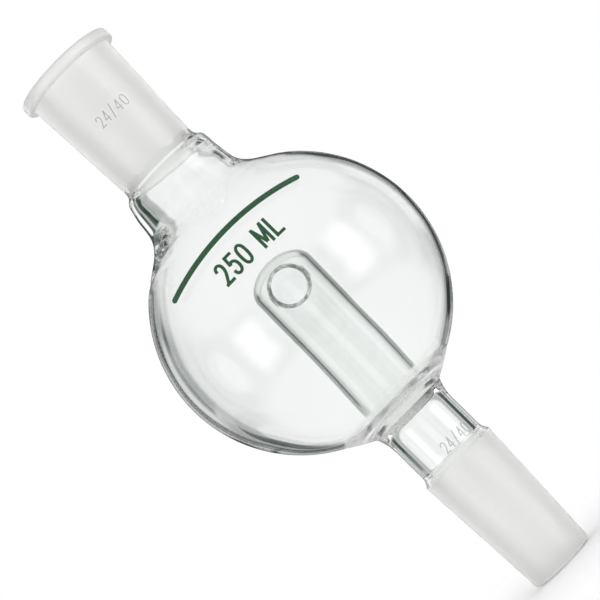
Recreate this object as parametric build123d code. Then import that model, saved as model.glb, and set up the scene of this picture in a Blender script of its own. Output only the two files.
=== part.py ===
from build123d import *

import os
from math import sqrt

# Splash trap for a rotary evaporator: a glass bulb between two 24/40 ground joints, with a closed
# vapour tube standing inside the bulb. Millimetres. +Z runs up the axis from the cone to the socket.
# Z = 0 is the gauge plane of the lower cone, where it is 24 mm across. The tube's side hole faces -Y.

# The standard 24/40 taper, shared by the cone and the socket
GAUGE_R = 12.0
TAPER_LENGTH = 40.0
SMALL_R = GAUGE_R - TAPER_LENGTH / 20

# Bulb
BULB_Z = 60.8
BULB_R = 42.0
BULB_WALL = 2.4
BULB_TOP_Z = 93.1
BULB_BOTTOM_Z = 24.0

# Bore shared by the cone's top, the stem, the ring seal and the vapour tube
BORE_R = 8.7

# Lower cone
TIP_BORE_R = 8.2
TIP_Z = -40.4
TIP_OUTER_ROUND = 1.0
TIP_INNER_ROUND = 0.5

# Stem
STEM_R = 10.8
STEM_TOP_Z = 19.1
STEM_TOP_R = 12.1
STEM_STRAIGHT_TOP_Z = 12.5
STEM_STRAIGHT_BOTTOM_Z = 3.0

# Ring seal, where the bulb, the stem and the vapour tube meet
SEAL_TROUGH_Z = 22.8
SEAL_TROUGH_R = 12.3
TUBE_FOOT_Z = 23.8

# Vapour tube, which leans a little towards +X
TUBE_R = 10.1
TUBE_TOP_Z = 75.2
TUBE_KNUCKLE_Z = 68.4
TUBE_WALL = TUBE_R - BORE_R
TUBE_LEAN_DEG = 1.1
HOLE_Z = 65.8
HOLE_R = 5.0
HOLE_LIP_R = 5.8
HOLE_LIP_HEIGHT = 0.5

# Socket
SOCKET_GAUGE_Z = 153.5
SOCKET_FOOT_Z = SOCKET_GAUGE_Z - TAPER_LENGTH
SOCKET_TOP_R = 14.2
SOCKET_WAIST_R = 12.65
SOCKET_WAIST_Z = 115.9
SOCKET_FOOT_R = 14.4

# Rolled rim round the socket's mouth
RIM_R = 16.1
RIM_TOP_Z = 154.0
RIM_BOTTOM_Z = 150.4
RIM_ROUND = 1.0
MOUTH_ROUND = 0.4

# Neck
NECK_BORE_R = 12.5

# Enamel marks
ENAMEL = 0.12
CAPACITY_Z = 75.2
CAPACITY_X = -9.9
CAPACITY_HEIGHT = 5.9
CAPACITY_WIDTH = 3.1
CAPACITY_PITCH = 4.0
CAPACITY_STROKE = 0.85
CAPACITY_GAP = 1.9
STRIPE_TOP_Z = 86.6
STRIPE_SAG = 3.1
STRIPE_HALF_LENGTH = 23.0
STRIPE_WIDTH = 1.6
SIZE_HEIGHT = 2.5
SIZE_WIDTH = 1.45
SIZE_STROKE = 0.32
SOCKET_SIZE_Z = 132.4
SOCKET_SIZE_X = -3.9
SOCKET_SIZE_PITCH = 2.2
STEM_SIZE_Z = 3.6
STEM_SIZE_X = -1.1
STEM_SIZE_PITCH = 1.95


def sphere_r(radius, z):
    """The bulb's radius round the Z axis at height z, on a sphere of the given radius."""
    return sqrt(radius**2 - (z - BULB_Z) ** 2)


def turned(*edges):
    """The solid swept by a closed profile of (radius, height) edges round the Z axis."""
    return revolve(Plane.XZ * make_face(list(edges)), axis=Axis.Z)


def taper_r(z, gauge_z):
    """The radius of the 1 in 10 taper at height z."""
    return GAUGE_R - (gauge_z - z) / 20


def inner_joint():
    shoulder_r = GAUGE_R
    tip_r = taper_r(TIP_Z + TIP_OUTER_ROUND, 0)
    return turned(
        Line((BORE_R, 0), (shoulder_r, 0)),
        Line((shoulder_r, 0), (tip_r, TIP_Z + TIP_OUTER_ROUND)),
        RadiusArc((tip_r, TIP_Z + TIP_OUTER_ROUND), (tip_r - TIP_OUTER_ROUND, TIP_Z), TIP_OUTER_ROUND),
        Line((tip_r - TIP_OUTER_ROUND, TIP_Z), (TIP_BORE_R + TIP_INNER_ROUND, TIP_Z)),
        RadiusArc((TIP_BORE_R + TIP_INNER_ROUND, TIP_Z), (TIP_BORE_R, TIP_Z + TIP_INNER_ROUND), TIP_INNER_ROUND),
        Line((TIP_BORE_R, TIP_Z + TIP_INNER_ROUND), (BORE_R, 0)),
    )


def stem():
    top_flare = [
        (STEM_TOP_R, STEM_TOP_Z),
        (11.35, 16.9),
        (10.95, 14.9),
        (STEM_R, STEM_STRAIGHT_TOP_Z),
    ]
    shoulder = [
        (STEM_R, STEM_STRAIGHT_BOTTOM_Z),
        (11.2, 1.5),
        (11.8, 0.6),
        (GAUGE_R, 0),
    ]
    return turned(
        Line((BORE_R, STEM_TOP_Z), top_flare[0]),
        Spline(*top_flare, tangents=[(-0.4, -1), (0, -1)]),
        Line(top_flare[-1], shoulder[0]),
        Spline(*shoulder, tangents=[(0, -1), (0.25, -1)]),
        Line(shoulder[-1], (BORE_R, 0)),
        Line((BORE_R, 0), (BORE_R, STEM_TOP_Z)),
    )


def ring_seal():
    outer_top_r = sphere_r(BULB_R, BULB_BOTTOM_Z)
    inner_top_r = sphere_r(BULB_R - BULB_WALL, BULB_BOTTOM_Z)
    outside = [
        (outer_top_r, BULB_BOTTOM_Z),
        (18.3, 22.75),
        (16.3, 21.5),
        (14.5, 20.45),
        (13.1, 19.7),
        (STEM_TOP_R, STEM_TOP_Z),
    ]
    trough = [
        (inner_top_r, BULB_BOTTOM_Z),
        (SEAL_TROUGH_R, SEAL_TROUGH_Z),
        (TUBE_R, TUBE_FOOT_Z),
    ]
    return turned(
        Spline(*outside, tangents=[(-1, -0.6), (-1, -0.62)]),
        Line((STEM_TOP_R, STEM_TOP_Z), (BORE_R, STEM_TOP_Z)),
        Line((BORE_R, STEM_TOP_Z), (BORE_R, TUBE_FOOT_Z)),
        Line((BORE_R, TUBE_FOOT_Z), trough[-1]),
        Spline(*trough[::-1], tangents=[(0.3, -1), (1, 0.55)]),
        Line(trough[0], outside[0]),
    )


def bulb():
    outer = BULB_R
    inner = BULB_R - BULB_WALL
    return turned(
        ThreePointArc(
            (sphere_r(outer, BULB_TOP_Z), BULB_TOP_Z),
            (outer, BULB_Z),
            (sphere_r(outer, BULB_BOTTOM_Z), BULB_BOTTOM_Z),
        ),
        Line((sphere_r(outer, BULB_BOTTOM_Z), BULB_BOTTOM_Z), (sphere_r(inner, BULB_BOTTOM_Z), BULB_BOTTOM_Z)),
        ThreePointArc(
            (sphere_r(inner, BULB_BOTTOM_Z), BULB_BOTTOM_Z),
            (inner, BULB_Z),
            (sphere_r(inner, BULB_TOP_Z), BULB_TOP_Z),
        ),
        Line((sphere_r(inner, BULB_TOP_Z), BULB_TOP_Z), (sphere_r(outer, BULB_TOP_Z), BULB_TOP_Z)),
    )


def neck():
    outside = [
        (sphere_r(BULB_R, BULB_TOP_Z), BULB_TOP_Z),
        (23.2, 95.6),
        (19.7, 98.1),
        (17.5, 100.3),
        (16.3, 102.5),
        (15.8, 104.8),
        (15.5, 107.3),
        (15.15, 109.9),
        (14.8, 112.0),
        (SOCKET_FOOT_R, SOCKET_FOOT_Z),
    ]
    inside = [
        (sphere_r(BULB_R - BULB_WALL, BULB_TOP_Z), BULB_TOP_Z),
        (19.5, 95.3),
        (16.4, 97.6),
        (14.1, 100.2),
        (13.0, 103.0),
        (NECK_BORE_R, 107.0),
        (11.9, 110.4),
        (10.9, 112.5),
        (SMALL_R, SOCKET_FOOT_Z),
    ]
    return turned(
        Spline(*outside, tangents=[(-1, 0.75), (-1, 1.1)]),
        Line(outside[-1], inside[-1]),
        Spline(*inside[::-1], tangents=[(1, -0.9), (1, -0.7)]),
        Line(inside[0], outside[0]),
    )


def outer_joint():
    mouth_r = taper_r(RIM_BOTTOM_Z, SOCKET_GAUGE_Z)
    waist = [
        (SOCKET_WAIST_R, SOCKET_WAIST_Z),
        (13.2, 114.7),
        (SOCKET_FOOT_R, SOCKET_FOOT_Z),
    ]
    return turned(
        Line((mouth_r, RIM_BOTTOM_Z), (SOCKET_TOP_R, RIM_BOTTOM_Z)),
        Line((SOCKET_TOP_R, RIM_BOTTOM_Z), waist[0]),
        Spline(*waist, tangents=[(0, -1), (1, -0.9)]),
        Line(waist[-1], (SMALL_R, SOCKET_FOOT_Z)),
        Line((SMALL_R, SOCKET_FOOT_Z), (mouth_r, RIM_BOTTOM_Z)),
    )


def socket_rim():
    mouth_r = taper_r(RIM_BOTTOM_Z, SOCKET_GAUGE_Z)
    lip_r = taper_r(RIM_TOP_Z - MOUTH_ROUND, SOCKET_GAUGE_Z)
    shoulder_z = RIM_BOTTOM_Z + RIM_ROUND
    crown_z = RIM_TOP_Z - RIM_ROUND
    return turned(
        Line((mouth_r, RIM_BOTTOM_Z), (RIM_R - RIM_ROUND, RIM_BOTTOM_Z)),
        RadiusArc((RIM_R - RIM_ROUND, RIM_BOTTOM_Z), (RIM_R, shoulder_z), -RIM_ROUND),
        Line((RIM_R, shoulder_z), (RIM_R, crown_z)),
        RadiusArc((RIM_R, crown_z), (RIM_R - RIM_ROUND, RIM_TOP_Z), -RIM_ROUND),
        Line((RIM_R - RIM_ROUND, RIM_TOP_Z), (lip_r + MOUTH_ROUND, RIM_TOP_Z)),
        RadiusArc((lip_r + MOUTH_ROUND, RIM_TOP_Z), (lip_r, RIM_TOP_Z - MOUTH_ROUND), -MOUTH_ROUND),
        Line((lip_r, RIM_TOP_Z - MOUTH_ROUND), (mouth_r, RIM_BOTTOM_Z)),
    )


def dome(radius, wall_top_z, top_z, foot_z):
    """A solid rod with a flattened round end, from foot_z up to top_z."""
    crown = [(radius, wall_top_z), (0.72 * radius, top_z - 0.27 * (top_z - wall_top_z)), (0, top_z)]
    return turned(
        Line((0, foot_z), (radius, foot_z)),
        Line((radius, foot_z), crown[0]),
        Spline(*crown, tangents=[(0, 1), (-1, 0)]),
        Line(crown[-1], (0, foot_z)),
    )


def vapour_tube():
    """The closed tube with its side hole, leaned and cut level so that its foot sits on the ring seal."""
    foot_z = SEAL_TROUGH_Z
    body = dome(TUBE_R, TUBE_KNUCKLE_Z, TUBE_TOP_Z, foot_z)
    bore = dome(BORE_R, TUBE_KNUCKLE_Z, TUBE_TOP_Z - TUBE_WALL, foot_z)
    facing = Plane(origin=(0, 0, HOLE_Z), x_dir=(1, 0, 0), z_dir=(0, -1, 0))
    lip = extrude(facing * Circle(HOLE_LIP_R), TUBE_R + HOLE_LIP_HEIGHT)
    hole = extrude(facing * Circle(HOLE_R), TUBE_R + 2 * HOLE_LIP_HEIGHT)
    tube = body + lip - bore - hole
    edges = tube.faces().filter_by(Axis.Y).sort_by(Axis.Y)[0].edges()
    tube = fillet(edges, HOLE_LIP_HEIGHT / 2)
    pivot = Pos(0, 0, TUBE_FOOT_Z)
    leaned = pivot * Rot(0, TUBE_LEAN_DEG, 0) * pivot.inverse() * tube
    return split(leaned, bisect_by=Plane.XY.offset(TUBE_FOOT_Z), keep=Keep.TOP)


# The strokes of each character on a cell one wide and one high, as (x, y) corners. A rounded corner
# is drawn with several short strokes.
STROKES = {
    "0": [[(0.3, 0), (0.7, 0), (1, 0.2), (1, 0.8), (0.7, 1), (0.3, 1), (0, 0.8), (0, 0.2), (0.3, 0)]],
    "2": [[(0, 0.75), (0.05, 0.9), (0.3, 1), (0.7, 1), (0.95, 0.88), (0.97, 0.68), (0, 0), (1, 0)]],
    "4": [[(0.75, 0), (0.75, 1), (0, 0.3), (1, 0.3)]],
    "5": [
        [(0.95, 1), (0.1, 1), (0.05, 0.55), (0.35, 0.65), (0.7, 0.64), (0.97, 0.48), (1, 0.25)],
        [(1, 0.25), (0.93, 0.1), (0.68, 0), (0.3, 0), (0.05, 0.1), (0, 0.25)],
    ],
    "/": [[(0.1, -0.15), (0.9, 1.15)]],
    "M": [[(0, 0), (0, 1), (0.5, 0.25), (1, 1), (1, 0)]],
    "L": [[(0, 1), (0, 0), (0.9, 0)]],
}


def bar(start, end, width):
    """A flat bar with round ends between two points."""
    a = Vector(*start)
    b = Vector(*end)
    length = (b - a).length
    middle = (a + b) * 0.5
    slant = (b - a).get_angle(Vector(1, 0)) * (1 if b.Y >= a.Y else -1)
    return Pos(middle.X, middle.Y) * Rot(0, 0, slant) * SlotCenterToCenter(length, width)


def lettering(text, x, z, width, height, pitch, stroke, gap):
    """The flat outlines of a row of characters in the XZ plane, as seen from -Y. A space moves on by gap."""
    shapes = []
    for character in text:
        if character == " ":
            x += gap
            continue
        for line in STROKES[character]:
            for start, end in zip(line, line[1:]):
                here = (x + start[0] * width, z + start[1] * height)
                there = (x + end[0] * width, z + end[1] * height)
                shapes.append(bar(here, there, stroke))
        x += pitch
    face = shapes[0]
    for shape in shapes[1:]:
        face += shape
    return Plane.XZ * face


def enamel_on(flat, skin):
    """The part of a thin skin that lies in front of a flat outline, one solid for each separate outline."""
    return extrude(flat, amount=BULB_R + 1) & skin


def bulb_skin():
    shell = Sphere(BULB_R + ENAMEL) - Sphere(BULB_R)
    return Pos(0, 0, BULB_Z) * shell


def stem_skin():
    height = STEM_STRAIGHT_TOP_Z - STEM_STRAIGHT_BOTTOM_Z
    shell = Cylinder(STEM_R + ENAMEL, height) - Cylinder(STEM_R, height)
    return Pos(0, 0, STEM_STRAIGHT_BOTTOM_Z + height / 2) * shell


def socket_skin():
    top = (SOCKET_TOP_R, RIM_BOTTOM_Z)
    foot = (SOCKET_WAIST_R, SOCKET_WAIST_Z)
    return turned(
        Line(top, foot),
        Line(foot, (foot[0] + ENAMEL, foot[1])),
        Line((foot[0] + ENAMEL, foot[1]), (top[0] + ENAMEL, top[1])),
        Line((top[0] + ENAMEL, top[1]), top),
    )


def stripe():
    """The plain enamel stripe above the capacity mark, curved like a wide arch."""
    half = STRIPE_HALF_LENGTH
    middle = (0, STRIPE_TOP_Z)
    arch = ThreePointArc((-half, STRIPE_TOP_Z - STRIPE_SAG), middle, (half, STRIPE_TOP_Z - STRIPE_SAG))
    flat = trace(arch, STRIPE_WIDTH)
    for x in (-half, half):
        flat += Pos(x, STRIPE_TOP_Z - STRIPE_SAG) * Circle(STRIPE_WIDTH / 2)
    return Plane.XZ * flat


capacity = lettering(
    "250 ML",
    CAPACITY_X,
    CAPACITY_Z,
    CAPACITY_WIDTH,
    CAPACITY_HEIGHT,
    CAPACITY_PITCH,
    CAPACITY_STROKE,
    CAPACITY_GAP,
)
socket_size = lettering(
    "24/40",
    SOCKET_SIZE_X,
    SOCKET_SIZE_Z,
    SIZE_WIDTH,
    SIZE_HEIGHT,
    SOCKET_SIZE_PITCH,
    SIZE_STROKE,
    0,
)
stem_size = lettering(
    "24/40",
    STEM_SIZE_X,
    STEM_SIZE_Z,
    SIZE_WIDTH,
    SIZE_HEIGHT,
    STEM_SIZE_PITCH,
    SIZE_STROKE,
    0,
)

parts = {
    "inner_joint": inner_joint(),
    "stem": stem(),
    "ring_seal": ring_seal(),
    "vapour_tube": vapour_tube(),
    "bulb": bulb(),
    "neck": neck(),
    "outer_joint": outer_joint(),
    "socket_rim": socket_rim(),
    "capacity_mark": enamel_on(capacity, bulb_skin()),
    "stripe_mark": enamel_on(stripe(), bulb_skin()),
    "socket_size_mark": enamel_on(socket_size, socket_skin()),
    "stem_size_mark": enamel_on(stem_size, stem_skin()),
}

os.makedirs("parts", exist_ok=True)
for name, solid in parts.items():
    export_step(solid, f"parts/{name}.step")
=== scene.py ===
import math

import bmesh
import bpy
from mathutils import Matrix, Quaternion, Vector, noise


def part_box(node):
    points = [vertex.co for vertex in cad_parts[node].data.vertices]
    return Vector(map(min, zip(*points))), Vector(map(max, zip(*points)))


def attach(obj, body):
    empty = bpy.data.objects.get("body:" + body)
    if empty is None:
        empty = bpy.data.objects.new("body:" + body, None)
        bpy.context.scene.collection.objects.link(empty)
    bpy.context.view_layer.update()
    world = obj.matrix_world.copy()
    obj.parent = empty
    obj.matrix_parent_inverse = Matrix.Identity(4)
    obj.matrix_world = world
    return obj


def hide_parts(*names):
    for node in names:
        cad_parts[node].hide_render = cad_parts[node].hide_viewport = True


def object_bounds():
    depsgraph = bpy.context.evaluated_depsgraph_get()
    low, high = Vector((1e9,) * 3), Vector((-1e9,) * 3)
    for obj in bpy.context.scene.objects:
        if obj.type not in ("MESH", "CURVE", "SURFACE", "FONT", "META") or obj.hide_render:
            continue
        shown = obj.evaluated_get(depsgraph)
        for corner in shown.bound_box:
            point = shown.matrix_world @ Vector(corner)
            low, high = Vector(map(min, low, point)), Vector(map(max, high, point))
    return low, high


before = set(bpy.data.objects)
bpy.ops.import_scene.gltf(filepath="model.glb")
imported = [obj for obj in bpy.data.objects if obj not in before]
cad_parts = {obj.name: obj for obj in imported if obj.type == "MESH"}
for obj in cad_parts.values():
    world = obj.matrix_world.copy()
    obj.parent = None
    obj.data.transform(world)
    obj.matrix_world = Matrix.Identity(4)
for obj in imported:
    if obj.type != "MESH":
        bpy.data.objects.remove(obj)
cad_low, cad_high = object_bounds()

# A blown-glass splash trap. Shapes are in millimetres, as (radius, height) about the Z axis, and become
# metres when a mesh is made.
MM = 0.001
SEGMENTS = 192
CURVE_STEP = 0.5
STRAIGHT_STEP = 1.5
CORNER_STEPS = 8

# Sizes that the frame's boxes don't give
WALL = 2.5
BORE_R = 8.7
TIP_BORE_R = 8.2
STEM_R = 10.8
TUBE_R = 10.1
TUBE_WALL = TUBE_R - BORE_R
TUBE_LEAN = math.radians(1.1)
DOME_HEIGHT = 6.8
HOLE_DROP = 9.4
HOLE_R = 4.95
LIP_BEAD = 0.5
LIP_MIDDLE_R = HOLE_R + LIP_BEAD
LIP_SWELL = 0.4
LIP_OUTER_EDGE = 1.3 * LIP_BEAD
LIP_INNER_EDGE = 1.1 * LIP_BEAD
SOCKET_SMALL_R = 10.0
SOCKET_TOP_R = 14.2
SOCKET_WAIST_R = 12.65
SOCKET_WAIST_Z = 117.0
# How far along a ground taper its radius grows by 1
TAPER_RUN = 20
# Bubbles in the ring seal: x, y, z and radius
SEAL_BUBBLES = [(10.6, -7.6, 21.2, 0.42), (12.2, -6.2, 21.3, 0.34)]
# Bubbles in the side hole's lip: degrees round the hole from +X, and radius
LIP_BUBBLES = [(60, 0.3), (22, 0.26), (-12, 0.34), (-24, 0.2), (-38, 0.24), (150, 0.16)]


# ---- sizes read from the frame ----

def top(node):
    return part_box(node)[1].z / MM


def bottom(node):
    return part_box(node)[0].z / MM


def radius(node):
    low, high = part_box(node)
    return (high.x - low.x) / 2 / MM


TIP_Z = bottom("inner_joint")
CONE_TOP_Z = top("inner_joint")
STEM_TOP_Z = top("stem")
SEAL_TOP_Z = bottom("bulb")
BULB_TOP_Z = top("bulb")
NECK_TOP_Z = top("neck")
RIM_FOOT_Z = bottom("socket_rim")
RIM_TOP_Z = top("socket_rim")
TUBE_FOOT_Z = bottom("vapour_tube")
TUBE_TOP_Z = top("vapour_tube")
BULB_R = radius("bulb")
NECK_FOOT_R = radius("neck")
NECK_TOP_R = radius("outer_joint")
BULB_Z = BULB_TOP_Z - math.sqrt(BULB_R**2 - NECK_FOOT_R**2)
CONE_R = radius("inner_joint")
STEM_TOP_R = radius("stem")
RIM_R = radius("socket_rim")
HOLE_Z = TUBE_TOP_Z - HOLE_DROP


# ---- outlines ----

def smooth(points, before=None, after=None):
    """Points about CURVE_STEP apart on a smooth curve through the given ones. The ghost points before
    and after set the curve's direction at its ends."""
    first = before or (2 * points[0][0] - points[1][0], 2 * points[0][1] - points[1][1])
    last = after or (2 * points[-1][0] - points[-2][0], 2 * points[-1][1] - points[-2][1])
    knots = [Vector(p) for p in [first, *points, last]]
    line = []
    for a, b, c, d in zip(knots, knots[1:], knots[2:], knots[3:]):
        steps = max(2, round((c - b).length / CURVE_STEP))
        for i in range(steps):
            t = i / steps
            leave = (c - a) * 0.5
            arrive = (d - b) * 0.5
            bend = 3 * (c - b) - 2 * leave - arrive
            twist = 2 * (b - c) + leave + arrive
            line.append(tuple(b + leave * t + bend * t**2 + twist * t**3))
    line.append(tuple(points[-1]))
    return line


def straight(start, end):
    steps = max(1, round(math.dist(start, end) / STRAIGHT_STEP))
    return [
        (start[0] + (end[0] - start[0]) * i / steps, start[1] + (end[1] - start[1]) * i / steps)
        for i in range(steps + 1)
    ]


def sphere_line(ball_r, low_z, high_z):
    """The sphere's outline from low_z up to high_z."""
    start = math.asin((low_z - BULB_Z) / ball_r)
    end = math.asin((high_z - BULB_Z) / ball_r)
    steps = max(2, round(ball_r * (end - start) / CURVE_STEP))
    angles = [start + (end - start) * i / steps for i in range(steps + 1)]
    return [(ball_r * math.cos(a), BULB_Z + ball_r * math.sin(a)) for a in angles]


def corner(centre, round_r, start_deg, end_deg):
    """A round corner's outline, from one angle to another, 0 degrees pointing away from the axis."""
    turn = end_deg - start_deg
    angles = [math.radians(start_deg + turn * i / CORNER_STEPS) for i in range(CORNER_STEPS + 1)]
    return [(centre[0] + round_r * math.cos(a), centre[1] + round_r * math.sin(a)) for a in angles]


# ---- handmade unevenness ----

# Sideways shifts along +X, as (height, shift)
WALL_SHIFT = [(SEAL_TOP_Z, 0), (40, 0.9), (82, 0.9), (105, 0.6), (NECK_TOP_Z, 0)]
NECK_SHIFT = [(BULB_TOP_Z + 1, 0), (101, -0.4), (108, -0.4), (NECK_TOP_Z, 0)]
NOTCH_Z = 93.3
NOTCH_HEIGHT = 0.8
NOTCH_DEPTH = 0.5
NOTCH_LEFT_FALL = 5
NOTCH_RIGHT = 0.3
NOTCH_RIGHT_FALL = 8
WAVE = 0.05
WAVE_WIDTH = 14
WAVE_HEIGHT = 11


def eased(table, z):
    """A value that goes smoothly from one (height, value) pair to the next."""
    if z <= table[0][0]:
        return table[0][1]
    for (z0, v0), (z1, v1) in zip(table, table[1:]):
        if z <= z1:
            t = (z - z0) / (z1 - z0)
            return v0 + (v1 - v0) * t * t * (3 - 2 * t)
    return table[-1][1]


def uneven(x, y, z):
    """Moves a point of an inner wall as blown glass has it: thicker on one side and faintly wavy."""
    drift = eased(WALL_SHIFT, z)
    reach = math.hypot(x, y)
    wave = WAVE * drift * noise.noise(Vector((x / WAVE_WIDTH, y / WAVE_WIDTH, z / WAVE_HEIGHT)))
    scale = 1 + wave / reach
    return x * scale + drift, y * scale, z


def notched(x, y, z):
    """Draws in a point of the outside near the seam where the neck was melted onto the bulb, most on the
    -X side and less on the +X side. The neck above the seam is set a little towards -X."""
    reach = math.hypot(x, y)
    depth = NOTCH_DEPTH * math.exp(-(((z - NOTCH_Z) / NOTCH_HEIGHT) ** 2))
    left = ((1 - x / reach) / 2) ** NOTCH_LEFT_FALL
    right = NOTCH_RIGHT * ((1 + x / reach) / 2) ** NOTCH_RIGHT_FALL
    scale = 1 - depth * (left + right) / reach
    return x * scale + eased(NECK_SHIFT, z), y * scale, z


# ---- meshes ----

# A glass piece's material slots. Only the vapour tube has the last one.
WELD = 0
CLEAR = 1
GROUND = 2
LIP = 3

# How a section's points are moved: not at all, or as the inner wall or the neck's seam is
SIDES = {"out": lambda x, y, z: (x, y, z), "in": uneven, "seam": notched}


def new_object(name, vertices, faces, slots, materials, bubbles=()):
    """A glass piece. Each bubble in its wall is a small hollow (x, y, z, radius)."""
    mesh = bpy.data.meshes.new(name)
    mesh.from_pydata([(x * MM, y * MM, z * MM) for x, y, z in vertices], [], faces)
    mesh.polygons.foreach_set("material_index", slots)
    for material in materials:
        mesh.materials.append(material)
    build = bmesh.new()
    build.from_mesh(mesh)
    bmesh.ops.recalc_face_normals(build, faces=build.faces)
    for edge in build.edges:
        pair = [face.material_index for face in edge.link_faces]
        edge.smooth = len(pair) < 2 or pair[0] == pair[1] or WELD not in pair
    for x, y, z, bubble_r in bubbles:
        where = Matrix.Translation(Vector((x, y, z)) * MM)
        made = bmesh.ops.create_icosphere(build, subdivisions=3, radius=bubble_r * MM, matrix=where)
        skin = {face for v in made["verts"] for face in v.link_faces}
        bmesh.ops.reverse_faces(build, faces=list(skin))
        for face in skin:
            face.material_index = CLEAR
    for face in build.faces:
        face.smooth = True
    build.to_mesh(mesh)
    build.free()
    piece = bpy.data.objects.new(name, mesh)
    bpy.context.scene.collection.objects.link(piece)
    return piece


def turned(name, sections, materials, bubbles=()):
    """A closed glass piece turned from sections of outline, each (finish, side, points). A weld is the
    flat cut where this piece is melted onto the next, and it can't be seen."""
    rings = []
    finishes = []
    for finish, side, points in sections:
        for point in points[:-1]:
            rings.append((point, side))
            finishes.append(finish)
    vertices = []
    for (r, z), side in rings:
        for k in range(SEGMENTS):
            angle = 2 * math.pi * k / SEGMENTS
            point = (r * math.cos(angle), r * math.sin(angle), z)
            vertices.append(SIDES[side](*point))
    faces = []
    slots = []
    for i, finish in enumerate(finishes):
        j = (i + 1) % len(rings)
        for k in range(SEGMENTS):
            m = (k + 1) % SEGMENTS
            faces.append((i * SEGMENTS + k, i * SEGMENTS + m, j * SEGMENTS + m, j * SEGMENTS + k))
            slots.append(finish)
    return new_object(name, vertices, faces, slots, materials, bubbles)


def inner_joint(materials):
    """The ground cone, with a melted tip."""
    outer_round = 1.2
    inner_round = 0.45
    tip_r = CONE_R + (TIP_Z + outer_round) / TAPER_RUN
    half = CORNER_STEPS // 2
    outside = straight((CONE_R, CONE_TOP_Z), (tip_r, TIP_Z + outer_round))
    tip = corner((tip_r - outer_round, TIP_Z + outer_round), outer_round, 0, -90)
    lip = corner((TIP_BORE_R + inner_round, TIP_Z + inner_round), inner_round, -90, -180)
    bore = straight((TIP_BORE_R, TIP_Z + inner_round), (BORE_R, CONE_TOP_Z))
    return turned(
        "inner_joint",
        [
            (GROUND, "out", outside),
            (GROUND, "out", tip[: half + 1]),
            (CLEAR, "out", tip[half:] + lip[:1]),
            (CLEAR, "out", lip),
            (GROUND, "out", bore),
            (WELD, "out", [bore[-1], outside[0]]),
        ],
        materials,
    )


def stem(materials):
    flare = [(STEM_TOP_R, STEM_TOP_Z), (11.35, 16.9), (10.95, 14.9), (STEM_R, 12.8)]
    shoulder = [(STEM_R, 3.2), (11.0, 1.9), (11.5, 0.9), (CONE_R, CONE_TOP_Z)]
    top_line = smooth(flare, before=(STEM_TOP_R + 0.6, STEM_TOP_Z + 1.5), after=(STEM_R, 10.5))
    foot_line = smooth(shoulder, before=(STEM_R, 5.0), after=(CONE_R + 0.3, -1.0))
    bore = straight((BORE_R, CONE_TOP_Z), (BORE_R, STEM_TOP_Z))
    return turned(
        "stem",
        [
            (CLEAR, "out", top_line),
            (CLEAR, "out", straight(top_line[-1], foot_line[0])),
            (CLEAR, "out", foot_line),
            (WELD, "out", [foot_line[-1], bore[0]]),
            (CLEAR, "out", bore),
            (WELD, "out", [bore[-1], top_line[0]]),
        ],
        materials,
    )


def ring_seal(materials):
    outer_top = sphere_line(BULB_R, SEAL_TOP_Z, SEAL_TOP_Z + 1)[0]
    inner_top = sphere_line(BULB_R - WALL, SEAL_TOP_Z, SEAL_TOP_Z + 1)[0]
    outside = smooth(
        [outer_top, (18.3, 22.75), (16.3, 21.5), (14.5, 20.45), (13.1, 19.7), (STEM_TOP_R, STEM_TOP_Z)],
        before=(outer_top[0] + 1.75, outer_top[1] + 1),
        after=(STEM_TOP_R - 1, STEM_TOP_Z - 0.6),
    )
    trough = smooth(
        [inner_top, (13.1, 23.25), (12.0, 22.9), (11.0, 23.0), (10.4, 23.35), (TUBE_R, TUBE_FOOT_Z)],
        before=(inner_top[0] + 1.6, inner_top[1] + 0.9),
        after=(TUBE_R - 0.05, 24.6),
    )
    bore = straight((BORE_R, TUBE_FOOT_Z), (BORE_R, STEM_TOP_Z))
    return turned(
        "ring_seal",
        [
            (CLEAR, "out", outside),
            (WELD, "out", [outside[-1], bore[-1]]),
            (CLEAR, "out", bore[::-1]),
            (WELD, "out", [bore[0], trough[-1]]),
            (CLEAR, "out", trough[::-1]),
            (WELD, "out", [trough[0], outside[0]]),
        ],
        materials,
        SEAL_BUBBLES,
    )


def bulb(materials):
    outside = sphere_line(BULB_R, SEAL_TOP_Z, BULB_TOP_Z)
    inside = sphere_line(BULB_R - WALL, SEAL_TOP_Z, BULB_TOP_Z)
    return turned(
        "bulb",
        [
            (CLEAR, "seam", outside),
            (WELD, "seam", [outside[-1], inside[-1]]),
            (CLEAR, "in", inside[::-1]),
            (WELD, "in", [inside[0], outside[0]]),
        ],
        materials,
    )


def neck(materials):
    inner_foot = sphere_line(BULB_R - WALL, BULB_TOP_Z - 1, BULB_TOP_Z)[-1]
    outside = smooth(
        [
            (NECK_FOOT_R, BULB_TOP_Z),
            (23.2, 95.6),
            (19.7, 98.1),
            (17.5, 100.3),
            (16.3, 102.5),
            (15.8, 104.8),
            (15.5, 107.3),
            (15.15, 109.9),
            (14.8, 112.0),
            (NECK_TOP_R, NECK_TOP_Z),
        ],
        before=(NECK_FOOT_R + 1.77, BULB_TOP_Z - 2),
        after=(13.2, 114.7),
    )
    inside = smooth(
        [
            inner_foot,
            (19.5, 95.3),
            (16.4, 97.6),
            (13.9, 100.2),
            (12.6, 103.0),
            (12.0, 107.0),
            (11.4, 110.4),
            (10.7, 112.4),
            (SOCKET_SMALL_R, NECK_TOP_Z),
        ],
        before=(inner_foot[0] + 2.3, BULB_TOP_Z - 1.7),
        after=(9.3, 114.4),
    )
    return turned(
        "neck",
        [
            (CLEAR, "seam", outside),
            (WELD, "in", [outside[-1], inside[-1]]),
            (CLEAR, "in", inside[::-1]),
            (WELD, "in", [inside[0], outside[0]]),
        ],
        materials,
    )


def socket_r(z):
    """The ground taper inside the socket, 1 in 10 across."""
    return SOCKET_SMALL_R + (z - NECK_TOP_Z) / TAPER_RUN


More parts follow.
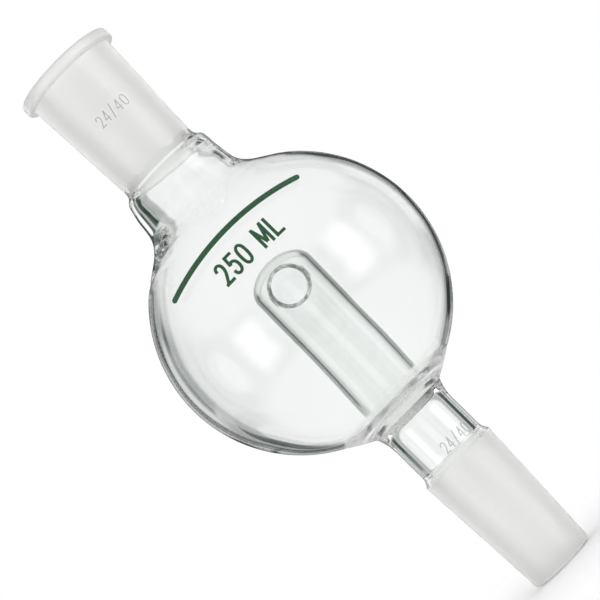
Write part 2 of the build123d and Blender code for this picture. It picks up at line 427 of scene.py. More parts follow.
def outer_joint(materials):
    waist = smooth(
        [(SOCKET_WAIST_R, SOCKET_WAIST_Z), (12.7, 115.9), (13.2, 114.7), (NECK_TOP_R, NECK_TOP_Z)],
        before=(12.72, 118.5),
        after=(14.8, 112.0),
    )
    side = straight((SOCKET_TOP_R, RIM_FOOT_Z), waist[0])
    bore = straight((SOCKET_SMALL_R, NECK_TOP_Z), (socket_r(RIM_FOOT_Z), RIM_FOOT_Z))
    return turned(
        "outer_joint",
        [
            (GROUND, "out", side),
            (CLEAR, "out", waist),
            (WELD, "out", [waist[-1], bore[0]]),
            (GROUND, "out", bore),
            (WELD, "out", [bore[-1], side[0]]),
        ],
        materials,
    )


def socket_rim(materials):
    rim_round = 1.0
    mouth_round = 0.4
    lip_r = socket_r(RIM_TOP_Z - mouth_round)
    under = smooth([(SOCKET_TOP_R, RIM_FOOT_Z), (14.7, RIM_FOOT_Z), (RIM_R - rim_round, RIM_FOOT_Z)])
    low_corner = corner((RIM_R - rim_round, RIM_FOOT_Z + rim_round), rim_round, -90, 0)
    top_corner = corner((RIM_R - rim_round, RIM_TOP_Z - rim_round), rim_round, 0, 90)
    mouth = corner((lip_r + mouth_round, RIM_TOP_Z - mouth_round), mouth_round, 90, 180)
    bore = straight((lip_r, RIM_TOP_Z - mouth_round), (socket_r(RIM_FOOT_Z), RIM_FOOT_Z))
    return turned(
        "socket_rim",
        [
            (GROUND, "out", under),
            (GROUND, "out", low_corner),
            (GROUND, "out", [low_corner[-1], top_corner[0]]),
            (GROUND, "out", top_corner),
            (GROUND, "out", [top_corner[-1], mouth[0]]),
            (GROUND, "out", mouth),
            (GROUND, "out", bore),
            (WELD, "out", [bore[-1], under[0]]),
        ],
        materials,
    )


def dome_line(tube_r, top_z):
    """The tube's outline from its foot to its flattened round end."""
    knuckle_z = TUBE_TOP_Z - DOME_HEIGHT
    rise = top_z - knuckle_z
    steps = 40
    angles = [math.pi / 2 * i / steps for i in range(steps)]
    crown = [(tube_r * math.cos(a), knuckle_z + rise * math.sin(a)) for a in angles]
    return straight((tube_r, TUBE_FOOT_Z), crown[0])[:-1] + crown + [(0, top_z)]


def reach_at(line, z):
    """The outline's radius at height z."""
    for (r0, z0), (r1, z1) in zip(line, line[1:]):
        if z0 <= z <= z1:
            return r0 + (r1 - r0) * (z - z0) / (z1 - z0)
    return line[-1][0]


def evened(line, spacing):
    """The same outline with its points evenly spaced."""
    lengths = [0]
    for a, b in zip(line, line[1:]):
        lengths.append(lengths[-1] + math.dist(a, b))
    count = round(lengths[-1] / spacing)
    points = []
    i = 0
    for n in range(count + 1):
        at = lengths[-1] * n / count
        while i < len(line) - 2 and lengths[i + 1] < at:
            i += 1
        t = (at - lengths[i]) / (lengths[i + 1] - lengths[i])
        points.append(tuple(a + (b - a) * t for a, b in zip(line[i], line[i + 1])))
    return points


class HoledTube:
    """The closed tube's mesh. Each wall is a grid with a square left out in front, and rings join the
    square to the round hole's melted lip."""

    half_patch = 22
    patch_steps = 8
    bead_steps = 14
    bead_turn = 140

    def __init__(self):
        self.vertices = []
        self.faces = []
        self.slots = []
        front = SEGMENTS * 3 // 4
        self.columns = [(front + k) % SEGMENTS for k in range(-self.half_patch, self.half_patch + 1)]

    def add(self, x, y, z):
        self.vertices.append((x, y, z))
        return len(self.vertices) - 1

    def face(self, corners, finish):
        self.faces.append(tuple(corners))
        self.slots.append(finish)

    def join(self, ring, other, finish=CLEAR):
        for k in range(len(ring)):
            m = (k + 1) % len(ring)
            self.face([ring[k], ring[m], other[m], other[k]], finish)

    def wall(self, line):
        """Adds a wall. Gives the ring of points round the square left out, and the ring at the foot."""
        rows = evened(line, 2 * math.pi * TUBE_R / SEGMENTS)
        middle = min(range(len(rows)), key=lambda i: abs(rows[i][1] - HOLE_Z))
        patch_rows = range(middle - self.half_patch, middle + self.half_patch + 1)
        columns = self.columns
        left_out = set((c, r) for c in columns[1:-1] for r in patch_rows[1:-1])
        grid = {}
        for r, (reach, z) in enumerate(rows[:-1]):
            for c in range(SEGMENTS):
                if (c, r) not in left_out:
                    angle = 2 * math.pi * c / SEGMENTS
                    grid[c, r] = self.add(reach * math.cos(angle), reach * math.sin(angle), z)
        for r in range(len(rows) - 2):
            for c in range(SEGMENTS):
                if r not in patch_rows[:-1] or c not in columns[:-1]:
                    d = (c + 1) % SEGMENTS
                    self.face([grid[c, r], grid[d, r], grid[d, r + 1], grid[c, r + 1]], CLEAR)
        pole = self.add(0, 0, rows[-1][1])
        last = len(rows) - 2
        for c in range(SEGMENTS):
            self.face([grid[c, last], grid[(c + 1) % SEGMENTS, last], pole], CLEAR)
        around = [(c, patch_rows[0]) for c in columns[:-1]]
        around += [(columns[-1], r) for r in patch_rows[:-1]]
        around += [(c, patch_rows[-1]) for c in columns[:0:-1]]
        around += [(columns[0], r) for r in patch_rows[:0:-1]]
        return [grid[key] for key in around], [grid[c, 0] for c in range(SEGMENTS)]

    def patch(self, line, ring, angles, hole_r):
        """Adds rings that narrow from the square to a circle of hole_r, lying on the wall."""
        start = [(self.vertices[i][0], self.vertices[i][2]) for i in ring]
        for n in range(1, self.patch_steps + 1):
            t = n / self.patch_steps
            made = []
            for (x, z), a in zip(start, angles):
                px = x + (hole_r * math.cos(a) - x) * t
                pz = z + (HOLE_Z + hole_r * math.sin(a) - z) * t
                made.append(self.add(px, -math.sqrt(reach_at(line, pz) ** 2 - px**2), pz))
            self.join(ring, made)
            ring = made
        return ring

    def lip(self, outer_line, inner_line, ring, angles):
        """Adds the round bead from the outer wall's ring to the inner wall, and gives its last ring."""
        for n in range(self.bead_steps + 1):
            turn = math.radians(self.bead_turn - 2 * self.bead_turn * n / self.bead_steps)
            reach = LIP_MIDDLE_R - LIP_BEAD * math.cos(turn)
            made = []
            for a in angles:
                px = reach * math.cos(a)
                pz = HOLE_Z + reach * math.sin(a)
                out_y = math.sqrt(reach_at(outer_line, pz) ** 2 - px**2)
                in_y = math.sqrt(reach_at(inner_line, pz) ** 2 - px**2)
                middle = (out_y + in_y) / 2
                swell = (out_y - in_y) / 2 + LIP_SWELL
                made.append(self.add(px, -(middle + swell * math.sin(turn)), pz))
            self.join(ring, made, LIP)
            ring = made
        return ring


def leaned(place):
    """A point of the tube, which leans a little from its foot."""
    pivot = Vector((0, 0, TUBE_FOOT_Z))
    return tuple(pivot + Matrix.Rotation(TUBE_LEAN, 3, "Y") @ (Vector(place) - pivot))


def lip_bubbles():
    bubbles = []
    for degrees, bubble_r in LIP_BUBBLES:
        px = LIP_MIDDLE_R * math.cos(math.radians(degrees))
        pz = HOLE_Z + LIP_MIDDLE_R * math.sin(math.radians(degrees))
        depth = math.sqrt((TUBE_R - TUBE_WALL / 2) ** 2 - px**2)
        bubbles.append((*leaned((px, -depth, pz)), bubble_r))
    return bubbles


def vapour_tube(materials):
    outer_line = dome_line(TUBE_R, TUBE_TOP_Z)
    inner_line = dome_line(BORE_R, TUBE_TOP_Z - TUBE_WALL)
    tube = HoledTube()
    outer_square, outer_foot = tube.wall(outer_line)
    inner_square, inner_foot = tube.wall(inner_line)
    corners = [tube.vertices[i] for i in outer_square]
    angles = [math.atan2(z - HOLE_Z, x) for x, y, z in corners]
    outer_ring = tube.patch(outer_line, outer_square, angles, LIP_MIDDLE_R + LIP_OUTER_EDGE)
    inner_ring = tube.patch(inner_line, inner_square, angles, LIP_MIDDLE_R + LIP_INNER_EDGE)
    tube.join(tube.lip(outer_line, inner_line, outer_ring, angles), inner_ring)
    tube.join(outer_foot, inner_foot, WELD)
    foot = set(outer_foot + inner_foot)
    places = [place if i in foot else leaned(place) for i, place in enumerate(tube.vertices)]
    return new_object("vapour_tube", places, tube.faces, tube.slots, materials, lip_bubbles())


# ---- enamel marks ----

GAP = 0.02
ENAMEL = 0.07
ENAMEL_EDGE = 0.6
SPLITS = 4
STRIPE_WIDTH = 1.6
# Strokes that cross lie at slightly different heights
LIFT_STEP = 0.004
LIFT_TOP = 0.012
# Sizes of the letters, which are spaced out to fill the CAD mark's box
CAPACITY_LETTERS = {"cell_width": 2.2, "stroke": 0.9, "word_gap": 2.7}
SOCKET_LETTERS = {"cell_width": 1.35, "stroke": 0.3, "word_gap": 0}
STEM_LETTERS = {"cell_width": 1.25, "stroke": 0.3, "word_gap": 0}


def on_bulb(z):
    return math.sqrt(BULB_R**2 - (z - BULB_Z) ** 2)


def on_socket(z):
    share = (z - SOCKET_WAIST_Z) / (RIM_FOOT_Z - SOCKET_WAIST_Z)
    return SOCKET_WAIST_R + (SOCKET_TOP_R - SOCKET_WAIST_R) * share


def on_stem(z):
    return STEM_R


def laid_on(name, flat, surface, material):
    """A thin enamel piece from a flat mesh of (x, height, lift) points, wrapped onto the glass in front."""
    build = bmesh.new()
    build.from_mesh(flat)
    for _ in range(SPLITS):
        bmesh.ops.triangulate(build, faces=[f for f in build.faces if len(f.verts) > 4])
        long_edges = [e for e in build.edges if e.calc_length() > ENAMEL_EDGE]
        bmesh.ops.subdivide_edges(build, edges=long_edges, cuts=1)
    for v in build.verts:
        x, z, lift = v.co
        reach = surface(z) + GAP + lift
        v.co = (x, -math.sqrt(reach**2 - x**2), z)
    made = bmesh.ops.extrude_face_region(build, geom=build.faces[:])
    for v in (g for g in made["geom"] if isinstance(g, bmesh.types.BMVert)):
        x, y, z = v.co
        reach = math.hypot(x, y)
        v.co = (x * (reach + ENAMEL) / reach, y * (reach + ENAMEL) / reach, z)
    bmesh.ops.recalc_face_normals(build, faces=build.faces)
    bmesh.ops.scale(build, vec=(MM, MM, MM), verts=build.verts)
    mesh = bpy.data.meshes.new(name)
    build.to_mesh(mesh)
    build.free()
    mesh.materials.append(material)
    piece = bpy.data.objects.new(name, mesh)
    bpy.context.scene.collection.objects.link(piece)
    return piece


# Character strokes in a unit box. A "bar" runs on past its ends by half its width, and a "slant" doesn't.
ZERO_LEFT = [(0.5, 1), (0.14, 0.9), (0, 0.68), (0, 0.32), (0.14, 0.1)]
ZERO_RIGHT = [(0.5, 0), (0.86, 0.1), (1, 0.32), (1, 0.68), (0.86, 0.9)]
TWO_CROWN = [(0, 0.74), (0.13, 0.93), (0.5, 1), (0.87, 0.91), (0.97, 0.7)]
TWO_SLOPE = [(0.82, 0.47), (0.42, 0.2), (0.08, 0)]
FIVE_BELLY = [(0.07, 0.54), (0.45, 0.65), (0.87, 0.55), (1, 0.32), (0.87, 0.09)]
FIVE_TAIL = [(0.5, 0), (0.13, 0.07), (0, 0.26)]
GLYPHS = {
    "0": [("loop", ZERO_LEFT + ZERO_RIGHT)],
    "2": [("curve", TWO_CROWN + TWO_SLOPE), ("bar", [(0, 0), (1, 0)])],
    "4": [
        ("bar", [(0.74, 0), (0.74, 1)]),
        ("bar", [(0, 0.28), (1, 0.28)]),
        ("slant", [(0.74, 1), (0, 0.28)]),
    ],
    "5": [
        ("bar", [(0.14, 1), (0.94, 1)]),
        ("bar", [(0.12, 1), (0.07, 0.6)]),
        ("curve", FIVE_BELLY + FIVE_TAIL),
    ],
    "/": [("slant", [(0.1, -0.15), (0.9, 1.15)])],
    "M": [
        ("bar", [(0, 0), (0, 1)]),
        ("slant", [(0.02, 1), (0.5, 0.1)]),
        ("slant", [(0.5, 0.1), (0.98, 1)]),
        ("bar", [(1, 1), (1, 0)]),
    ],
    "L": [("bar", [(0, 1), (0, 0)]), ("bar", [(0, 0), (0.95, 0)])],
}
WIDE = {"M": 1.3}


def extended(points, reach):
    """A straight stroke made longer at both ends."""
    start, end = [Vector(p) for p in points]
    along = (end - start).normalized() * reach
    return [tuple(start - along), tuple(end + along)]


def closed_curve(points):
    line = smooth([*points, points[0]], before=points[-1], after=points[1])
    return line[:-1]


def ribbon(line, width, closed):
    """The two edges of a flat band along a line."""
    edges = []
    for i, here in enumerate(line):
        before = line[i - 1] if i or closed else here
        after = line[(i + 1) % len(line)] if closed or i < len(line) - 1 else here
        along = (Vector(after) - Vector(before)).normalized()
        side = Vector((-along.y, along.x)) * width / 2
        edges.append((Vector(here) + side, Vector(here) - side))
    return edges


def lettering(node, text, surface, material, cell_width, stroke, word_gap):
    """A line of generic characters that fills the CAD mark's box."""
    low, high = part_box(node)
    low = low / MM
    high = high / MM
    height = high.z - low.z - stroke
    letters = text.replace(" ", "")
    widths = [cell_width * WIDE.get(character, 1) for character in letters]
    spare = high.x - low.x - stroke - sum(widths) - word_gap * text.count(" ")
    space = spare / (len(letters) - 1)
    start = low.x + stroke / 2
    vertices = []
    faces = []
    lift = 0
    for character in text:
        if character == " ":
            start += word_gap
            continue
        width = cell_width * WIDE.get(character, 1)
        for kind, points in GLYPHS[character]:
            line = [(start + x * width, low.z + stroke / 2 + y * height) for x, y in points]
            if kind == "loop":
                line = closed_curve(line)
            elif kind == "curve":
                line = smooth(line)
            elif kind == "bar":
                line = extended(line, stroke / 2)
            closed = kind == "loop"
            first = len(vertices)
            for left, right in ribbon(line, stroke, closed):
                vertices += [(*left, lift), (*right, lift)]
            count = len(line)
            for i in range(count if closed else count - 1):
                j = (i + 1) % count
                faces.append([first + 2 * i, first + 2 * i + 1, first + 2 * j + 1, first + 2 * j])
            lift = (lift + LIFT_STEP) % LIFT_TOP
        start += width + space
    flat = bpy.data.meshes.new(node + "_flat")
    flat.from_pydata(vertices, [], faces)
    return laid_on(node, flat, surface, material)


def stripe(node, material):
    """The plain arched stripe, with round ends."""
    low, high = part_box(node)
    end_r = STRIPE_WIDTH / 2
    half = (high.x - low.x) / 2 / MM - end_r
    crest_z = high.z / MM - end_r
    sag = crest_z - low.z / MM - end_r
    arch_r = (half**2 + sag**2) / (2 * sag)
    sweep = math.asin(half / arch_r)
    steps = 100
    turns = [sweep * (2 * i / steps - 1) for i in range(steps + 1)]
    upper_r = arch_r + end_r
    lower_r = upper_r - STRIPE_WIDTH
    upper = [(upper_r * math.sin(a), crest_z - arch_r + upper_r * math.cos(a)) for a in turns]
    lower = [(lower_r * math.sin(a), crest_z - arch_r + lower_r * math.cos(a)) for a in turns]
    end_steps = 10
    ends = []
    for side in (1, -1):
        centre = Vector((side * half, crest_z - sag))
        start = math.pi / 2 - side * sweep
        angles = [start - side * math.pi * n / end_steps for n in range(1, end_steps)]
        ends.append([(centre.x + end_r * math.cos(t), centre.y + end_r * math.sin(t)) for t in angles])
    outline = upper + ends[0] + lower[::-1] + ends[1][::-1]
    flat = bpy.data.meshes.new(node + "_flat")
    flat.from_pydata([(x, z, 0) for x, z in outline], [], [list(range(len(outline)))])
    return laid_on(node, flat, on_bulb, material)


# ---- materials ----

GLASS_IOR = 1.474
GLASS_TINTS = [(0.975, 0.985, 0.98), (0.985, 0.992, 0.988)]
# Noise lies mostly between these values
NOISE_SPAN = (0.3, 0.7)
TINT_SPAN = (0.35, 0.65)


def node_material(name):
    material = bpy.data.materials.new(name)
    material.use_nodes = True
    tree = material.node_tree
    shader = tree.nodes["Principled BSDF"]
    return material, tree, shader


def glass_material(name):
    material, tree, shader = node_material(name)
    shader.inputs["Transmission Weight"].default_value = 1
    shader.inputs["IOR"].default_value = GLASS_IOR
    return material, tree, shader


def noise_value(tree, scale, detail, stretch=(1, 1, 1)):
    """A procedural value in the object's own space, in metres."""
    place = tree.nodes.new("ShaderNodeTexCoord")
    mapping = tree.nodes.new("ShaderNodeMapping")
    mapping.inputs["Scale"].default_value = stretch
    texture = tree.nodes.new("ShaderNodeTexNoise")
    texture.inputs["Scale"].default_value = scale
    texture.inputs["Detail"].default_value = detail
    tree.links.new(place.outputs["Object"], mapping.inputs["Vector"])
    tree.links.new(mapping.outputs["Vector"], texture.inputs["Vector"])
    return texture.outputs["Fac"]


def spread(tree, value, low, high):
    """The noise value stretched to run from low to high."""
    reach = tree.nodes.new("ShaderNodeMapRange")
    reach.inputs["From Min"].default_value = NOISE_SPAN[0]
    reach.inputs["From Max"].default_value = NOISE_SPAN[1]
    reach.inputs["To Min"].default_value = low
    reach.inputs["To Max"].default_value = high
    tree.links.new(value, reach.inputs["Value"])
    return reach.outputs["Result"]


def tint(tree, shader, value, colours):
    """Colours the surface from one colour to the other as the noise value rises."""
    ramp = tree.nodes.new("ShaderNodeValToRGB")
    for stop, position, colour in zip(ramp.color_ramp.elements, TINT_SPAN, colours):
        stop.position = position
        stop.color = (*colour, 1)
    tree.links.new(value, ramp.inputs["Fac"])
    tree.links.new(ramp.outputs["Color"], shader.inputs["Base Color"])


def bumped(tree, shader, value, strength, distance):
    bump = tree.nodes.new("ShaderNodeBump")
    bump.inputs["Strength"].default_value = strength
    bump.inputs["Distance"].default_value = distance
    tree.links.new(value, bump.inputs["Height"])
    tree.links.new(bump.outputs["Normal"], shader.inputs["Normal"])


def clear_glass():
    """Blown borosilicate: clean, with long soft waves along its surface."""
    material, tree, shader = glass_material("clear_glass")
    shader.inputs["Roughness"].default_value = 0
    drawn = noise_value(tree, scale=70, detail=1, stretch=(1, 1, 0.4))
    tint(tree, shader, drawn, GLASS_TINTS)
    bumped(tree, shader, drawn, strength=0.25, distance=0.0002)
    return material


def melted_glass():
    """The thick ring seal, faintly clouded by melting."""
    material, tree, shader = glass_material("melted_glass")
    cloud = noise_value(tree, scale=180, detail=2)
    tint(tree, shader, cloud, GLASS_TINTS)
    tree.links.new(spread(tree, cloud, 0.1, 0.2), shader.inputs["Roughness"])
    return material


def lip_glass():
    """The fire-polished lip of the side hole, darker in places: the dark spots are painted shade that
    stands in for dark refractions in the melted bead.
    """
    material, tree, shader = glass_material("lip_glass")
    shader.inputs["Roughness"].default_value = 0
    painted_dark_spots = noise_value(tree, scale=800, detail=3)
    # Painted shade: the tint's dark end makes dark spots that stand in for the lip's dark refractions.
    tint(tree, shader, painted_dark_spots, [(0.12, 0.15, 0.13), (0.96, 0.97, 0.965)])
    return material


def ground_glass():
    """Glass ground matt with fine grit, which leaves grains and faint rings."""
    material, tree, shader = glass_material("ground_glass")
    patches = noise_value(tree, scale=260, detail=3)
    grain = noise_value(tree, scale=5200, detail=2)
    rings = noise_value(tree, scale=900, detail=2, stretch=(0.02, 0.02, 1))
    ring_share = 0.35
    tint(tree, shader, patches, [(0.96, 0.965, 0.955), (0.98, 0.983, 0.975)])
    tree.links.new(spread(tree, patches, 0.52, 0.62), shader.inputs["Roughness"])
    height = tree.nodes.new("ShaderNodeMath")
    height.operation = "MULTIPLY_ADD"
    height.inputs[1].default_value = ring_share
    tree.links.new(rings, height.inputs[0])
    tree.links.new(grain, height.inputs[2])
    bumped(tree, shader, height.outputs["Value"], strength=0.35, distance=0.00006)
    return material


def weld_glass():
    """The cut between two melted pieces, where the real glass has no surface at all."""
    material, _, shader = node_material("weld")
    shader.inputs["Alpha"].default_value = 0
    return material


def enamel(name, colours):
    """Fired enamel: dense ink with a faintly pitted, half-gloss surface."""
    material, tree, shader = node_material(name)
    grain = noise_value(tree, scale=2600, detail=4)
    tint(tree, shader, grain, colours)
    tree.links.new(spread(tree, grain, 0.35, 0.55), shader.inputs["Roughness"])
    shader.inputs["Specular IOR Level"].default_value = 0.25
    bumped(tree, shader, grain, strength=0.3, distance=0.00004)
    return material


def paper_floor():
    """White paper that fades away with distance from the trap."""
    material, tree, shader = node_material("pale_floor")
    grain = noise_value(tree, scale=40, detail=4)
    tint(tree, shader, grain, [(0.9, 0.9, 0.9), (0.91, 0.91, 0.91)])
    shader.inputs["Roughness"].default_value = 1
    shader.inputs["Specular IOR Level"].default_value = 0
    place = tree.nodes.new("ShaderNodeTexCoord")
    distance = tree.nodes.new("ShaderNodeVectorMath")
    distance.operation = "LENGTH"
    tree.links.new(place.outputs["Object"], distance.inputs[0])
    fade = tree.nodes.new("ShaderNodeMapRange")
    fade.interpolation_type = "SMOOTHSTEP"
    fade.inputs["From Min"].default_value = FLOOR_SOLID_R
    fade.inputs["From Max"].default_value = FLOOR_R
    fade.inputs["To Min"].default_value = 1
    fade.inputs["To Max"].default_value = 0
    tree.links.new(distance.outputs["Value"], fade.inputs["Value"])
    tree.links.new(fade.outputs["Result"], shader.inputs["Alpha"])
    return material


# ---- light ----

BOUNCES = 40
WHITE = (1, 1, 1)
FLOOR_LIGHT = (1.16, 1.16, 1.16)

# All angles are in degrees, and azimuth runs from +Y towards +X. A pair is how far something reaches from
# its middle, and how far it takes to fade beyond that.

# What clear glass reflects: a dim room, darkest behind the trap and brightest about FRONT_AZIMUTH
DIM_ROOM = 0.06
SIDE_GLOW = 0.38
FRONT_GLOW = 0.12
FRONT_AZIMUTH = 135
FRONT_ACROSS = (60, 60)
DARK_ACROSS = (33, 9)
DARK_UP = (18, 8)

# What matt glass reflects and lets through
MATT_ROOM = 0.6
MATT_BOX_GAIN = 4.5
MATT_NEAR = (0.92, 0.92, 0.91)
MATT_FAR = (0.70, 0.70, 0.69)
MATT_REACH = (5, 50)

# Each soft box: azimuth, elevation, half width, half height, softness, strength
SOFTBOXES = [
    (-134, -2, 5, 10, 13, 4.0),
    (123, 1, 5, 10, 15, 4.5),
    (-45, 8, 4, 10, 9, 1.6),
    (45, 8, 4, 10, 9, 1.6),
]

# The light tent has four level panes, a quarter turn apart, and two lower ones. Flatness makes a pane less
# high than it is wide. A lower pane's drop is more on the -X side.
LEVEL_SPACING = 90
LEVEL_ELEVATION = 2
LEVEL_FLATNESS = 0.9
LOW_SPACING = 180
LOW_AZIMUTH = -45
LOW_DROP = 20
LOW_DROP_CHANGE = 5
LOW_FLATNESS = 1.5
TENT_UP = (18, 12)
CEILING_LIGHT = (0.80, 0.81, 0.80)
# The tent's colour by the degrees from the middle of the nearest pane. Light that only crossed a wall's
# edge meets the panes' dark frames, and light that also crossed the hollow inside meets softer ones.
FRAMED_PANES = [
    (0, (0.965, 0.97, 0.965)),
    (11, (0.965, 0.97, 0.965)),
    (14.5, (0.03, 0.055, 0.04)),
    (24.5, (0.03, 0.055, 0.04)),
    (27, (0.44, 0.45, 0.445)),
    (34.5, (0.44, 0.45, 0.445)),
    (37.5, (0.015, 0.04, 0.025)),
    (60, (0.015, 0.04, 0.025)),
]
SOFT_PANES = [
    (0, (0.965, 0.97, 0.965)),
    (16.5, (0.965, 0.97, 0.965)),
    (21, (0.50, 0.51, 0.505)),
    (38, (0.47, 0.48, 0.475)),
    (44, (0.06, 0.085, 0.07)),
    (60, (0.06, 0.085, 0.07)),
]
# How many surfaces light crosses on its way through a hollow piece, and through a wall's edge alone
HOLLOW_CROSSINGS = 4
EDGE_CROSSINGS = 2


class Sums:
    """Short calls for a node tree's arithmetic. A number or a socket goes in and a socket comes out."""

    def __init__(self, tree):
        self.tree = tree

    def do(self, operation, *values):
        node = self.tree.nodes.new("ShaderNodeMath")
        node.operation = operation
        for socket, value in zip(node.inputs, values):
            if isinstance(value, (int, float)):
                socket.default_value = value
            else:
                self.tree.links.new(value, socket)
        return node.outputs["Value"]

    def apart(self, angle, middle, spacing):
        """The degrees from an angle to the nearest of the middles, which lie spacing apart."""
        return self.do("PINGPONG", self.do("SUBTRACT", angle, middle), spacing / 2)

    def inside(self, distance, half, soft):
        """1 within half of a centre, falling smoothly to 0 over soft beyond it."""
        reach = self.tree.nodes.new("ShaderNodeMapRange")
        reach.interpolation_type = "SMOOTHSTEP"
        reach.inputs["From Min"].default_value = half
        reach.inputs["From Max"].default_value = half + soft
        reach.inputs["To Min"].default_value = 1
        reach.inputs["To Max"].default_value = 0
        self.tree.links.new(distance, reach.inputs["Value"])
        return reach.outputs["Result"]

    def ramp(self, value, stops):
        """The colour at value, from stops of (value, colour) whose first is at 0."""
        node = self.tree.nodes.new("ShaderNodeValToRGB")
        node.color_ramp.interpolation = "EASE"
        widest = stops[-1][0]
        for i, (at, colour) in enumerate(stops):
            stop = node.color_ramp.elements[i] if i < 2 else node.color_ramp.elements.new(at / widest)
            stop.position = at / widest
            stop.color = (*colour, 1)
        self.tree.links.new(self.do("DIVIDE", value, widest), node.inputs["Fac"])
        return node.outputs["Color"]

    def length(self, across, up):
        return self.do("SQRT", self.do("MULTIPLY_ADD", across, across, self.do("MULTIPLY", up, up)))

    def grey(self, value):
        node = self.tree.nodes.new("ShaderNodeCombineColor")
        for socket in node.inputs:
            self.tree.links.new(value, socket)
        return node.outputs["Color"]

    def mix(self, factor, first, second):
        node = self.tree.nodes.new("ShaderNodeMix")
        node.data_type = "RGBA"
        self.tree.links.new(factor, node.inputs["Factor"])
        for name, value in (("A", first), ("B", second)):
            socket = [s for s in node.inputs if s.name == name and s.type == "RGBA"][0]
            if isinstance(value, tuple):
                socket.default_value = (*value, 1)
            else:
                self.tree.links.new(value, socket)
        return [s for s in node.outputs if s.type == "RGBA"][0]


def ray_angles(sums):
    """The azimuth and elevation that a ray leaves in."""
    place = sums.tree.nodes.new("ShaderNodeTexCoord")
    split = sums.tree.nodes.new("ShaderNodeSeparateXYZ")
    sums.tree.links.new(place.outputs["Generated"], split.inputs["Vector"])
    x, y, z = split.outputs
    azimuth = sums.do("DEGREES", sums.do("ARCTAN2", x, y))
    elevation = sums.do("DEGREES", sums.do("ARCSINE", z))
    return azimuth, elevation


def off_pane(sums, azimuth, elevation):
    """The degrees from the middle of the nearest pane."""
    level_across = sums.apart(azimuth, 0, LEVEL_SPACING)
    level_up = sums.do("MULTIPLY", sums.do("SUBTRACT", elevation, LEVEL_ELEVATION), LEVEL_FLATNESS)
    low_across = sums.apart(azimuth, LOW_AZIMUTH, LOW_SPACING)
    drop = sums.do("MULTIPLY_ADD", sums.do("SIGN", azimuth), -LOW_DROP_CHANGE, LOW_DROP)
    low_up = sums.do("MULTIPLY", sums.do("ADD", elevation, drop), LOW_FLATNESS)
    return sums.do("MINIMUM", sums.length(level_across, level_up), sums.length(low_across, low_up))


def tent(sums, away, elevation, transmission_depth):
    """The panes as clear glass shows them, plain above and below. The depth counts the surfaces that the
    light crossed."""
    crossings = sums.do("MODULO", transmission_depth, HOLLOW_CROSSINGS)
    edge_only = sums.do("COMPARE", crossings, EDGE_CROSSINGS, 0.5)
    panes = sums.mix(edge_only, sums.ramp(away, SOFT_PANES), sums.ramp(away, FRAMED_PANES))
    return sums.mix(sums.inside(sums.do("ABSOLUTE", elevation), *TENT_UP), CEILING_LIGHT, panes)


def soft_boxes(sums, azimuth, elevation):
    boxes = 0
    for box_azimuth, box_elevation, half_width, half_height, soft, strength in SOFTBOXES:
        across = sums.do("ABSOLUTE", sums.do("SUBTRACT", azimuth, box_azimuth))
        up = sums.do("ABSOLUTE", sums.do("SUBTRACT", elevation, box_elevation))
        lit = sums.do("MULTIPLY", sums.inside(across, half_width, soft), sums.inside(up, half_height, soft))
        boxes = sums.do("MULTIPLY_ADD", lit, strength, boxes)
    return boxes


def dim_room(sums, azimuth, elevation):
    front = sums.apart(azimuth, FRONT_AZIMUTH, 360)
    dark_across = sums.inside(sums.do("ABSOLUTE", azimuth), *DARK_ACROSS)
    dark_up = sums.inside(sums.do("ABSOLUTE", elevation), *DARK_UP)
    behind = sums.do("MULTIPLY", dark_across, dark_up)
    room = sums.do("MULTIPLY_ADD", behind, -SIDE_GLOW, DIM_ROOM + SIDE_GLOW)
    return sums.do("MULTIPLY_ADD", sums.inside(front, *FRONT_ACROSS), FRONT_GLOW, room)


def studio():
    """A light tent with bright panes and dark gaps between them, which draw the clear glass's edges.
    Reflections see a dim room with soft boxes, and matt glass sees the tent evenly lit."""
    world = bpy.data.worlds.new("studio")
    world.use_nodes = True
    world.cycles.sampling_method = "NONE"
    bpy.context.scene.world = world
    tree = world.node_tree
    sums = Sums(tree)
    path = tree.nodes.new("ShaderNodeLightPath")
    azimuth, elevation = ray_angles(sums)
    away = off_pane(sums, azimuth, elevation)
    panes = tent(sums, away, elevation, path.outputs["Transmission Depth"])
    even = sums.mix(sums.inside(away, *MATT_REACH), MATT_FAR, MATT_NEAR)
    boxes = soft_boxes(sums, azimuth, elevation)
    sharp_mirror = sums.grey(sums.do("ADD", dim_room(sums, azimuth, elevation), boxes))
    matt_mirror = sums.grey(sums.do("MULTIPLY_ADD", boxes, MATT_BOX_GAIN, MATT_ROOM))

    sharp = path.outputs["Is Singular Ray"]
    through = sums.mix(sharp, even, panes)
    mirror = sums.mix(sharp, matt_mirror, sharp_mirror)
    seen = sums.mix(path.outputs["Is Transmission Ray"], mirror, through)
    seen = sums.mix(path.outputs["Is Diffuse Ray"], seen, FLOOR_LIGHT)
    seen = sums.mix(path.outputs["Is Camera Ray"], seen, WHITE)
    tree.links.new(seen, tree.nodes["Background"].inputs["Color"])


# ---- floor and camera ----

# In metres. The paper is solid out to FLOOR_SOLID_R, and faded away at FLOOR_R.
FLOOR_R = 0.16
FLOOR_SOLID_R = 0.03
FLOOR_GAP = 0.0002


def floor():
    mesh = bpy.data.meshes.new("floor")
    sides = 64
    turns = [2 * math.pi * k / sides for k in range(sides)]
    edge = [(FLOOR_R * math.cos(a), FLOOR_R * math.sin(a), 0) for a in turns]
    mesh.from_pydata(edge, [], [list(range(sides))])
    mesh.materials.append(paper_floor())
    disc = bpy.data.objects.new("floor", mesh)
    disc.location.z = cad_low.z - FLOOR_GAP
    bpy.context.scene.collection.objects.link(disc)


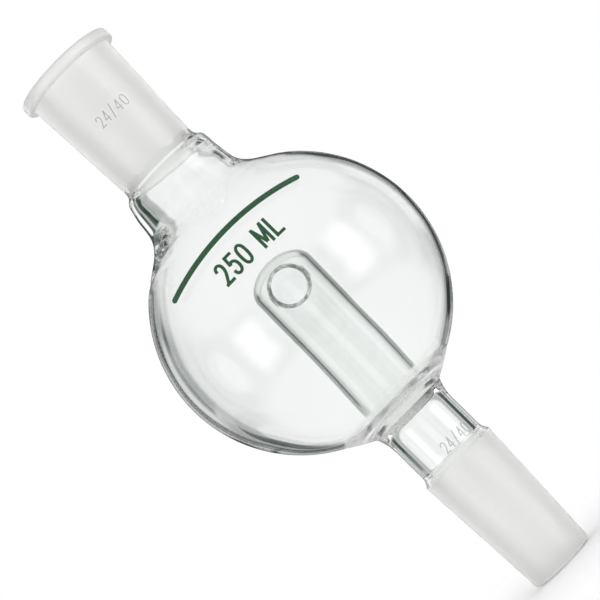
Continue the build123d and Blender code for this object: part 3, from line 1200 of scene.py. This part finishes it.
def camera():
    """In front of the trap, as high as the stem's top and looking up at the bulb's middle. It is rolled so
    that the trap lies across the picture's diagonal with its socket up on the left."""
    distance = 0.675
    field = 0.1657
    roll = math.radians(-45.38)
    aside = 0.00045
    aim_rise = 0.00075
    eye = Vector((aside, -distance, STEM_TOP_Z * MM))
    aim = Vector((aside, 0, BULB_Z * MM + aim_rise))
    data = bpy.data.cameras.new("camera")
    data.sensor_width = 36
    data.lens = data.sensor_width * (aim - eye).length / field
    data.clip_start = 0.01
    data.clip_end = 50
    holder = bpy.data.objects.new("camera", data)
    bpy.context.scene.collection.objects.link(holder)
    holder.location = eye
    look = (aim - eye).to_track_quat("-Z", "Y")
    holder.rotation_mode = "QUATERNION"
    holder.rotation_quaternion = look @ Quaternion((0, 0, 1), roll)
    bpy.context.scene.camera = holder


# ---- the trap ----

glass = [weld_glass(), clear_glass(), ground_glass()]
glass_makers = {
    "inner_joint": inner_joint,
    "stem": stem,
    "ring_seal": ring_seal,
    "vapour_tube": vapour_tube,
    "bulb": bulb,
    "neck": neck,
    "outer_joint": outer_joint,
    "socket_rim": socket_rim,
}
pieces = {node: make(glass) for node, make in glass_makers.items()}
pieces["ring_seal"].data.materials[CLEAR] = melted_glass()
pieces["vapour_tube"].data.materials.append(lip_glass())

green = enamel("green_enamel", [(0.014, 0.062, 0.026), (0.028, 0.095, 0.045)])
grey = enamel("grey_enamel", [(0.40, 0.41, 0.40), (0.50, 0.51, 0.50)])
pieces["capacity_mark"] = lettering("capacity_mark", "250 ML", on_bulb, green, **CAPACITY_LETTERS)
pieces["stripe_mark"] = stripe("stripe_mark", green)
pieces["socket_size_mark"] = lettering("socket_size_mark", "24/40", on_socket, grey, **SOCKET_LETTERS)
pieces["stem_size_mark"] = lettering("stem_size_mark", "24/40", on_stem, grey, **STEM_LETTERS)

for node, piece in pieces.items():
    piece.name = "trap_" + node
    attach(piece, "root")
    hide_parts(node)

studio()
floor()
camera()
scene = bpy.context.scene
scene.view_settings.view_transform = "Standard"
scene.cycles.max_bounces = BOUNCES
scene.cycles.transmission_bounces = BOUNCES
scene.cycles.glossy_bounces = BOUNCES
scene.cycles.transparent_max_bounces = BOUNCES
